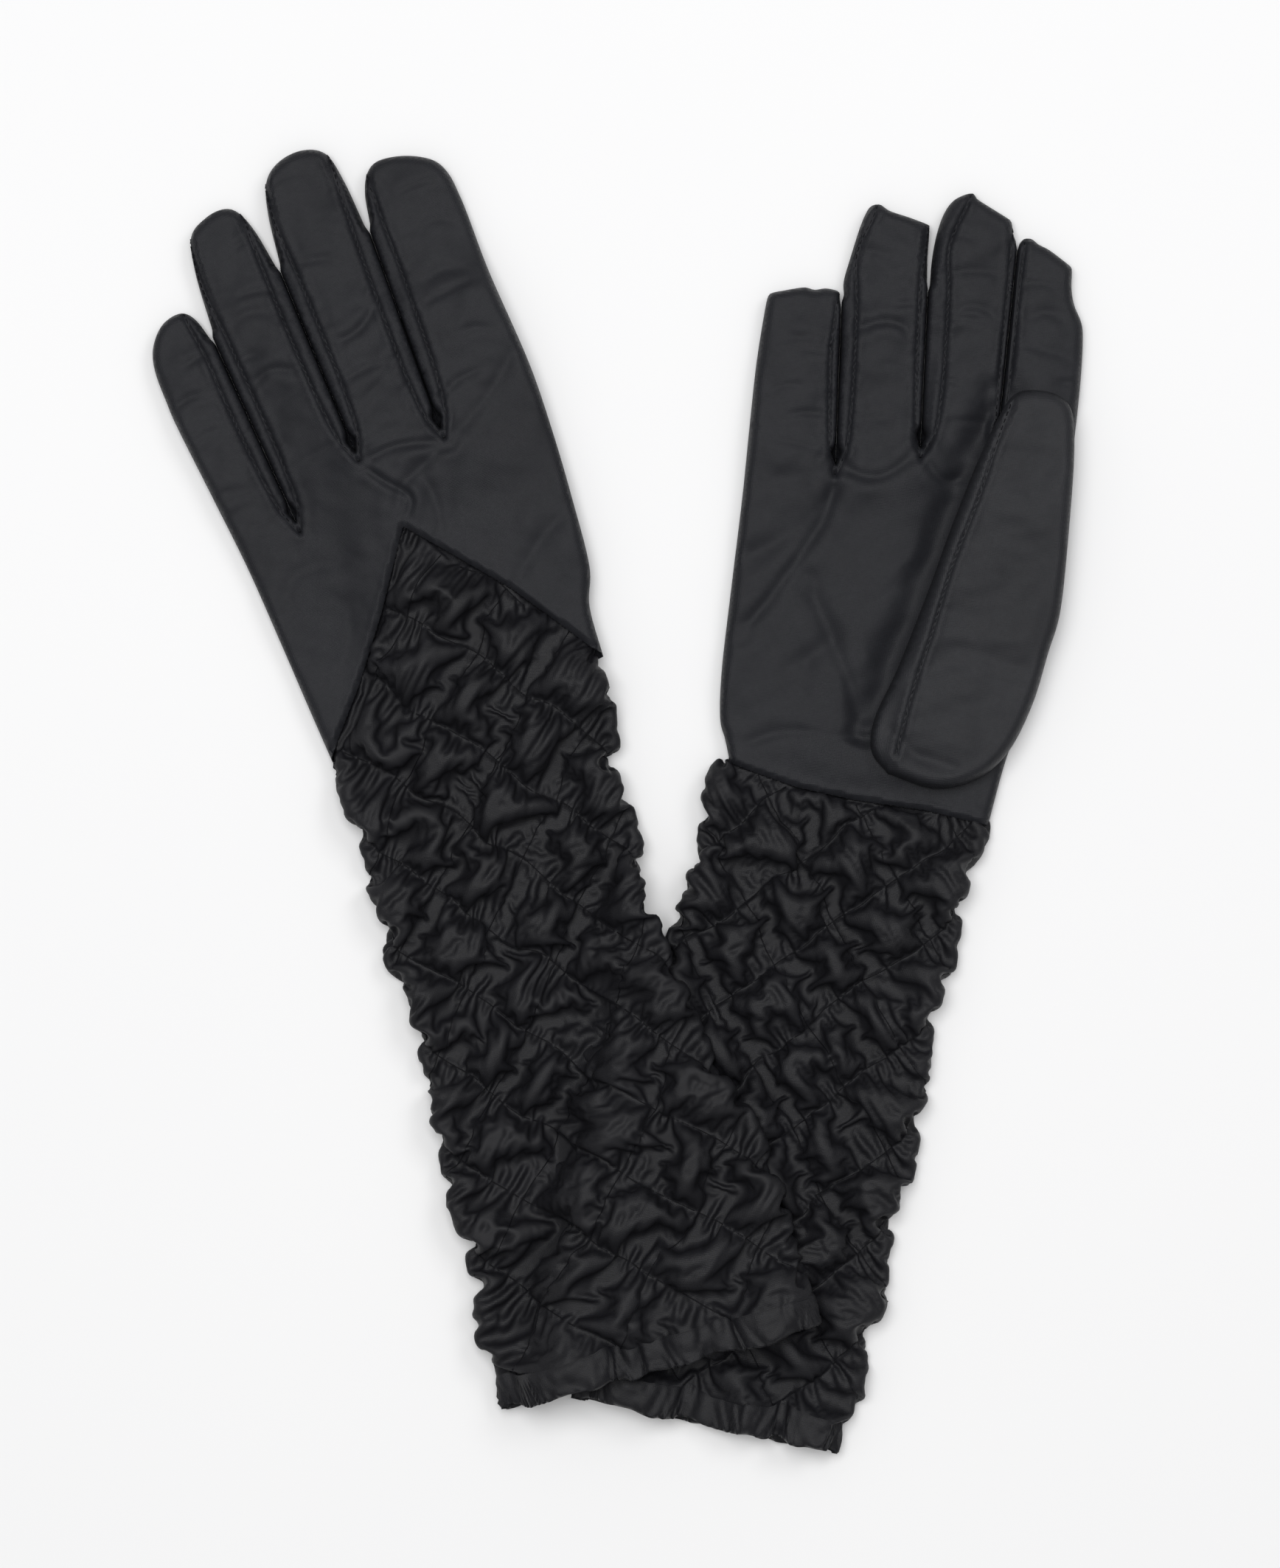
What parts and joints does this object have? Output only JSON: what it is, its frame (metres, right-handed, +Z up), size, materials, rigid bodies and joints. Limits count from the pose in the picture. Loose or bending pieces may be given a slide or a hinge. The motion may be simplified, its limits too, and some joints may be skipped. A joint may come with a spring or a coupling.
{
  "type": "opera gloves",
  "caption": "Pair of long dress gloves lying flat, one sleeve across the other, with smooth hands, fingers that fold, thumbs that swing and shirred sleeves with open mouths.",
  "frame": {"origin": "middle of the pair's box in plan, on the surface that the gloves lie on", "axes": "+X across the pair towards the right glove, +Y from the sleeves' mouths to the fingertips, +Z up"},
  "size_m": [0.2606, 0.3632, 0.0206],
  "materials": {
    "smooth_cloth": "matte smooth knit",
    "thumb_cloth": "matte smooth knit",
    "fourchette_cloth": "matte smooth knit",
    "shirred_cloth": "matte, gathered on crossed elastic threads",
    "hem_cloth": "matte, turned and stitched"
  },
  "bodies": {
    "right_gauntlet": {"right_gauntlet_back": "shirred_cloth", "right_gauntlet_palm": "shirred_cloth", "right_gauntlet_side_fold": "shirred_cloth", "right_gauntlet_side_seam": "shirred_cloth", "right_hem_band": "hem_cloth"},
    "right_hand": {"right_back_panel": "smooth_cloth", "right_palm_panel": "smooth_cloth", "right_v_insert": "shirred_cloth", "right_hand_side_fold": "fourchette_cloth", "right_hand_side_seam": "fourchette_cloth", "right_fourchette_little_ring": "fourchette_cloth", "right_fourchette_ring_middle": "fourchette_cloth", "right_fourchette_middle_index": "fourchette_cloth"},
    "right_little": {"right_little_back": "smooth_cloth", "right_little_palm": "smooth_cloth", "right_little_strip_inner": "fourchette_cloth"},
    "right_ring": {"right_ring_back": "smooth_cloth", "right_ring_palm": "smooth_cloth", "right_ring_strip_outer": "fourchette_cloth", "right_ring_strip_inner": "fourchette_cloth"},
    "right_middle": {"right_middle_back": "smooth_cloth", "right_middle_palm": "smooth_cloth", "right_middle_strip_outer": "fourchette_cloth", "right_middle_strip_inner": "fourchette_cloth"},
    "right_index": {"right_index_back": "smooth_cloth", "right_index_palm": "smooth_cloth", "right_index_strip_outer": "fourchette_cloth"},
    "right_thumb": {"right_thumb_outer": "thumb_cloth", "right_thumb_inner": "thumb_cloth"},
    "left_gauntlet": {"left_gauntlet_back": "shirred_cloth", "left_gauntlet_palm": "shirred_cloth", "left_gauntlet_side_fold": "shirred_cloth", "left_gauntlet_side_seam": "shirred_cloth", "left_hem_band": "hem_cloth"},
    "left_hand": {"left_back_panel": "smooth_cloth", "left_palm_panel": "smooth_cloth", "left_v_insert": "shirred_cloth", "left_hand_side_fold": "fourchette_cloth", "left_hand_side_seam": "fourchette_cloth", "left_fourchette_little_ring": "fourchette_cloth", "left_fourchette_ring_middle": "fourchette_cloth", "left_fourchette_middle_index": "fourchette_cloth"},
    "left_little": {"left_little_back": "smooth_cloth", "left_little_palm": "smooth_cloth", "left_little_strip_inner": "fourchette_cloth"},
    "left_ring": {"left_ring_back": "smooth_cloth", "left_ring_palm": "smooth_cloth", "left_ring_strip_outer": "fourchette_cloth", "left_ring_strip_inner": "fourchette_cloth"},
    "left_middle": {"left_middle_back": "smooth_cloth", "left_middle_palm": "smooth_cloth", "left_middle_strip_outer": "fourchette_cloth", "left_middle_strip_inner": "fourchette_cloth"},
    "left_index": {"left_index_back": "smooth_cloth", "left_index_palm": "smooth_cloth", "left_index_strip_outer": "fourchette_cloth"},
    "left_thumb": {"left_thumb_outer": "thumb_cloth", "left_thumb_inner": "thumb_cloth"}
  },
  "joints": [
    {"name": "right_wrist", "type": "hinge", "parent": "right_gauntlet", "child": "right_hand", "pos_m": [0.06605, -0.00787, 0.01], "axis": [0.9954, -0.0958, 0], "range_deg": [0, 90]},
    {"name": "right_little_fold", "type": "hinge", "parent": "right_hand", "child": "right_little", "pos_m": [0.05077, 0.11517, 0.008], "axis": [0.9954, -0.0958, 0], "range_deg": [0, 90]},
    {"name": "right_ring_fold", "type": "hinge", "parent": "right_hand", "child": "right_ring", "pos_m": [0.07531, 0.12486, 0.008], "axis": [0.9954, -0.0958, 0], "range_deg": [0, 90]},
    {"name": "right_middle_fold", "type": "hinge", "parent": "right_hand", "child": "right_middle", "pos_m": [0.0989, 0.1246, 0.008], "axis": [0.9954, -0.0958, 0], "range_deg": [0, 90]},
    {"name": "right_index_fold", "type": "hinge", "parent": "right_hand", "child": "right_index", "pos_m": [0.12022, 0.11652, 0.008], "axis": [0.9954, -0.0958, 0], "range_deg": [0, 90]},
    {"name": "right_thumb_swing", "type": "hinge", "parent": "right_hand", "child": "right_thumb", "pos_m": [0.09344, 0.02305, 0.008], "axis": [0, 0, 1], "range_deg": [-50, 0]},
    {"name": "left_wrist", "type": "hinge", "parent": "left_gauntlet", "child": "left_hand", "pos_m": [-0.04052, 0.01945, 0.0176], "axis": [0.9272, 0.3746, 0], "range_deg": [0, 90]},
    {"name": "left_little_fold", "type": "hinge", "parent": "left_hand", "child": "left_little", "pos_m": [-0.11472, 0.10703, 0.008], "axis": [0.9272, 0.3746, 0], "range_deg": [0, 90]},
    {"name": "left_ring_fold", "type": "hinge", "parent": "left_hand", "child": "left_ring", "pos_m": [-0.10107, 0.13196, 0.008], "axis": [0.9272, 0.3746, 0], "range_deg": [0, 90]},
    {"name": "left_middle_fold", "type": "hinge", "parent": "left_hand", "child": "left_middle", "pos_m": [-0.07743, 0.14151, 0.008], "axis": [0.9272, 0.3746, 0], "range_deg": [0, 90]},
    {"name": "left_index_fold", "type": "hinge", "parent": "left_hand", "child": "left_index", "pos_m": [-0.05193, 0.15181, 0.008], "axis": [0.9272, 0.3746, 0], "range_deg": [0, 90]},
    {"name": "left_thumb_swing", "type": "hinge", "parent": "left_hand", "child": "left_thumb", "pos_m": [-0.02836, 0.04809, 0.003], "axis": [0, 0, 1], "range_deg": [-50, 0]},
    {"name": "left_glove_lift", "type": "slide", "parent": "right_gauntlet", "child": "left_gauntlet", "axis": [0, 0, 1], "range_m": [0, 0.15]}
  ]
}
